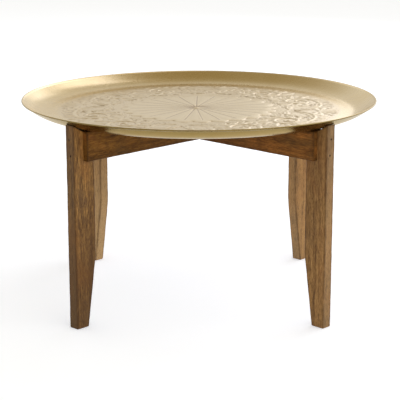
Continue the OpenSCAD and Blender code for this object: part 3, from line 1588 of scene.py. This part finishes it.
@dataclass
class CrossBar:
    """One straight bar of the stand, notched where the other crosses it."""

    node: str
    frame: Frame
    bearing: float
    notch_from: float
    notched_above: bool
    finish: MangoWood
    seed: float
    sizes: StandSizes = field(default_factory=StandSizes)
    steps: int = 54
    unevenness: float = 0.22 * MM
    arris: float = 1.3 * MM

    def rings(self, low: float, high: float) -> list[Points]:
        """Draws the bar's cross-sections.

        Args:
            low: The height of its bottom edge.
            high: The height of its top edge.

        Returns:
            The cross-sections, from one end to the other.
        """
        size, arris = self.sizes, self.arris
        half_up, half = (high - low) / 2, size.bar_thickness / 2
        # Each station is a place along the bar, and how far the skin is drawn in there.
        half_bar = [(size.bar_end, inset * MM) for inset in (9.0, 4.5)]
        half_bar += [
            (size.bar_end - arris * (1 - math.cos(turn)), arris * (1 - math.sin(turn)))
            for turn in np.linspace(0, math.pi / 2, 4)
        ]
        half_bar += [(place, 0.0) for place in np.linspace(size.bar_end - 5 * MM, 0, self.steps)]
        stations = [(-place, inset) for place, inset in half_bar] + half_bar[-2::-1]
        rings = []
        for place, inset in stations:
            share = place / size.bar_end
            corner = arris * (0.8 + 0.5 * float(hand_planed(np.array(7 * share), self.seed)))
            corner = max(corner - 0.5 * inset, SMALLEST_CORNER)
            ring = rounded_ring(half - inset, half_up - inset, corner, (6, 10))
            through, up = ring[:, 0], ring[:, 1]
            sunk = self.unevenness * hand_planed(share * 3 + up * 20, self.seed)
            through = through * (1 - sunk / half)
            below = self.unevenness * hand_planed(share * 4 + through * 20, self.seed + 2)
            up = np.where(up < 0, up + below * (inset == 0), up)
            middle = (size.bar_face + size.bar_back) / 2
            out = np.full(len(ring), place)
            rings.append(np.stack([out, through + middle, up + (low + high) / 2], 1))
        return rings

    def build(self) -> bpy.types.Object:
        """Builds and dresses the bar.

        Returns:
            The bar.
        """
        size = self.sizes
        low, high = (corner[2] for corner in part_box(self.node))
        points, faces = loft(self.rings(low, high))
        piece = make_piece(f"{self.node}_board", stand_up(points, self.bearing), faces)
        middle, gap = (low + high) / 2, size.joint_gap
        notch_low, notch_high = low - MM, middle + gap / 2
        if self.notched_above:
            notch_low, notch_high = middle - gap / 2, high + MM
        start = (self.notch_from - gap, size.bar_back - MM, notch_low)
        end = (self.notch_from + size.bar_thickness + gap, size.bar_face + MM, notch_high)
        cut_away(piece, [block("notch", start, end, self.bearing)])
        self.mark_arris(piece, low, high)
        piece.data.materials.append(self.finish.material())
        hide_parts(self.node)
        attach(piece, self.frame.value)
        return piece

    def mark_arris(self, piece: bpy.types.Object, low: float, high: float) -> None:
        """Stores how near each point is to one of the bar's arrises or to its ends.

        Args:
            piece: The bar, which is changed.
            low: The height of its bottom edge.
            high: The height of its top edge.
        """
        size = self.sizes
        points = points_of(piece)
        out, through = laid_down(points, self.bearing)
        gaps = np.sort([
            np.minimum(size.bar_face - through, through - size.bar_back),
            np.minimum(high - points[:, 2], points[:, 2] - low),
            size.bar_end - np.abs(out),
        ], axis=0)
        hold(piece, "arris", np.exp(-((np.hypot(gaps[0], gaps[1]) / ARRIS_SHARE) ** 2)))
        hold(piece, "end_grain", 0.3 - 0.3 * eased(size.bar_end - np.abs(out), 0.3 * MM, 1.6 * MM))


@dataclass
class Nails:
    """The sunk nails of one frame, which keep their built shape and take a finish."""

    node: str
    finish: DarkSteel = field(default_factory=DarkSteel)

    def dress(self) -> bpy.types.Object:
        """Gives the nails their material.

        Returns:
            The nails.
        """
        nails = frame["nodes"][self.node]
        nails.material_slots[0].material = self.finish.material()
        return nails


# --- The studio -----------------------------------------------------------------------------


@dataclass(frozen=True)
class Softbox:
    """A rectangular area light that faces a point on the table."""

    name: str
    place: tuple[float, float, float]
    size: tuple[float, float]
    power: float
    colour: Colour = (1.0, 1.0, 1.0)

    def build(self, aim: Vector) -> bpy.types.Object:
        """Makes the light.

        Args:
            aim: The point that it faces.

        Returns:
            The lamp.
        """
        light = bpy.data.lights.new(self.name, "AREA")
        light.shape = "RECTANGLE"
        light.size, light.size_y = self.size
        light.energy = self.power
        light.color = self.colour
        lamp = bpy.data.objects.new(self.name, light)
        lamp.location = self.place
        lamp.rotation_euler = (aim - Vector(self.place)).to_track_quat("-Z", "Y").to_euler()
        bpy.context.scene.collection.objects.link(lamp)
        return lamp


@dataclass
class Studio:
    """The pale floor, the soft lights and the camera.

    The sky gives the room's light by the sine of the angle above the horizon.
    """

    floor_side: float = 60.0
    floor_colour: Colour = srgb(247, 248, 249)
    floor_mottle: Colour = srgb(241, 242, 243)
    floor_glow: Colour = (0.34, 0.37, 0.43)
    sky: tuple[tuple[float, Colour], ...] = (
        (0.0, (0.66, 0.66, 0.66)),
        (0.2, (0.95, 0.95, 0.96)),
        (0.42, (0.93, 0.93, 0.93)),
        (0.62, (0.70, 0.67, 0.60)),
        (0.82, (0.47, 0.40, 0.25)),
        (1.0, (0.38, 0.30, 0.14)),
    )
    camera_away: float = 2.851
    camera_up: float = 0.912
    camera_turn: float = -0.0103
    camera_aside: float = -0.0007
    camera_down: float = math.radians(13.96)
    camera_lens: float = 122.08
    softboxes: tuple[Softbox, ...] = (
        Softbox("key", (3.2, -3.0, 2.9), (7.2, 7.2), 96),
        Softbox("rear_right", (2.25, 2.15, 2.9), (2.8, 2.8), 35, (0.95, 1.0, 1.16)),
        Softbox("rear_middle", (2.1, 4.1, 1.8), (3.4, 2.2), 21.5, (0.94, 1.0, 1.18)),
        Softbox("rear_left", (-2.9, 2.4, 1.9), (3.0, 2.4), 5),
    )

    def floor(self) -> bpy.types.Object:
        """Lays the floor.

        Returns:
            The floor.
        """
        corners = np.array([[-1, -1, 0], [1, -1, 0], [1, 1, 0], [-1, 1, 0]]) * self.floor_side / 2
        floor = make_piece("studio_floor", corners, [(0, 1, 2, 3)])
        g = Graph("pale_paper")
        mottle = g.noise(g.place(), 60.0, detail=3.0)
        colour = g.tinted(mottle * 0.2, self.floor_colour, self.floor_mottle)
        paper = g.dress(
            Base_Color=colour,
            Roughness=0.9,
            Specular_IOR_Level=0.1,
            Emission_Color=self.floor_glow,
            Emission_Strength=1.0,
        )
        floor.data.materials.append(paper)
        return floor

    def light_room(self) -> None:
        """Fills the room with soft light: bright low all round and dimmer and warmer overhead."""
        world = bpy.data.worlds.new("studio_light")
        bpy.context.scene.world = world
        world.use_nodes = True
        tree = world.node_tree
        tree.nodes.clear()
        place = tree.nodes.new("ShaderNodeTexCoord")
        parts = tree.nodes.new("ShaderNodeSeparateXYZ")
        ramp = tree.nodes.new("ShaderNodeValToRGB")
        light = tree.nodes.new("ShaderNodeBackground")
        output = tree.nodes.new("ShaderNodeOutputWorld")
        Graph.set_stops(ramp.color_ramp, self.sky)
        links = (
            (place.outputs["Generated"], parts.inputs[0]),
            (parts.outputs["Z"], ramp.inputs[0]),
            (ramp.outputs[0], light.inputs["Color"]),
            (light.outputs[0], output.inputs["Surface"]),
        )
        for start, end in links:
            tree.links.new(start, end)

    def camera(self) -> bpy.types.Object:
        """Sets up the camera.

        Returns:
            The camera.
        """
        data = bpy.data.cameras.new("camera")
        data.lens = self.camera_lens
        data.sensor_width = 36.0
        camera = bpy.data.objects.new("camera", data)
        turn, away = self.camera_turn, self.camera_away
        camera.location = (away * math.sin(turn), -away * math.cos(turn), self.camera_up)
        camera.rotation_euler = (math.pi / 2 - self.camera_down, 0, turn + self.camera_aside)
        bpy.context.scene.collection.objects.link(camera)
        bpy.context.scene.camera = camera
        return camera

    def build(self, aim: Vector) -> None:
        """Sets up the whole studio.

        Args:
            aim: The point that its lights face.
        """
        self.camera()
        self.floor()
        self.light_room()
        for softbox in self.softboxes:
            softbox.build(aim)
        bpy.context.scene.view_settings.view_transform = "Standard"


# --- The table ------------------------------------------------------------------------------


def main() -> None:
    """Builds the table and its studio."""
    logging.basicConfig(level=logging.INFO, format="%(name)s: %(message)s")
    low, high = CAD_BOUNDS
    Studio().build((Vector(low) + Vector(high)) / 2)
    sizes = StandSizes()
    quarter = math.pi / 4
    pieces: list[bpy.types.Object] = [EmbossedTray().build()]
    sunny = {
        "pale": srgb(172, 128, 74),
        "middle": srgb(138, 99, 55),
        "heart": srgb(154, 104, 54),
        # Painted highlight on the narrow faces.
        "narrow_face_shading": 0.2,
        "foot": srgb(196, 162, 112),
        "foot_share": 0.15,
    }
    shaded = {
        "pale": srgb(196, 146, 78),
        "heart": srgb(164, 108, 50),
        # Painted shade on the narrow faces.
        "edge": srgb(80, 60, 36),
        "narrow_face_shading": 0.45,
        "foot_share": 0.7,
        # Painted shade on the leg's inner stretch, under the tray.
        "inner_shade": 0.4,
    }
    # Darker towards the top, with a painted highlight on the narrow faces.
    greyed = {"top_darkening": 0.28, "cloudy": 0.3, "narrow_face_shading": 0.2}
    # The bars' darker tones: partly their own stain, partly painted shade of the tray above them.
    bar_stain_and_shade = {
        "pale": srgb(138, 94, 40),
        "middle": srgb(102, 66, 22),
        "dark": srgb(62, 38, 10),
        "smoke": srgb(84, 62, 32),
        "cloudy": 0.6,
        "gloss": 0.08,
    }
    redder = bar_stain_and_shade | {
        "pale": srgb(166, 108, 50),
        "middle": srgb(120, 75, 30),
        # Painted shade of the tray: the bar darkens from its front end towards its middle and far half.
        "inner_shade": 0.45,
        "shaded_to": (0.05, 0.32),
    }
    pale_footed = sunny | {"foot_share": 0.6}
    legs = (
        ("leg_front_left", Frame.LOWER, 5 * quarter, -1, 1.7, "lower_bar", shaded),
        ("leg_rear_right", Frame.LOWER, quarter, 1, 4.1, "lower_bar", sunny),
        ("leg_front_right", Frame.UPPER, 7 * quarter, 1, 7.9, "upper_bar", greyed),
        ("leg_rear_left", Frame.UPPER, 3 * quarter, -1, 11.3, "upper_bar", pale_footed),
    )
    for node, which, bearing, side, seed, bar_node, tones in legs:
        finish = MangoWood(f"{node}_wood", Grain.UPRIGHT, bearing, seed, **tones)
        pieces.append(PlankLeg(node, which, bearing, side, finish, seed, bar_node).build())
    bars = (
        ("lower_bar", Frame.LOWER, quarter, -sizes.bar_face, True, 15.2, bar_stain_and_shade),
        ("upper_bar", Frame.UPPER, 7 * quarter, sizes.bar_back, False, 18.6, redder),
    )
    for node, which, bearing, notch_from, above, seed, tones in bars:
        finish = MangoWood(f"{node}_wood", Grain.LENGTHWISE, bearing, seed, **tones)
        pieces.append(CrossBar(node, which, bearing, notch_from, above, finish, seed).build())
    for node in ("lower_nails", "upper_nails"):
        pieces.append(Nails(node).dress())
    for piece in pieces:
        LOG.info("%s: %d faces", piece.name, len(piece.data.polygons))


if __name__ == "__main__":
    main()
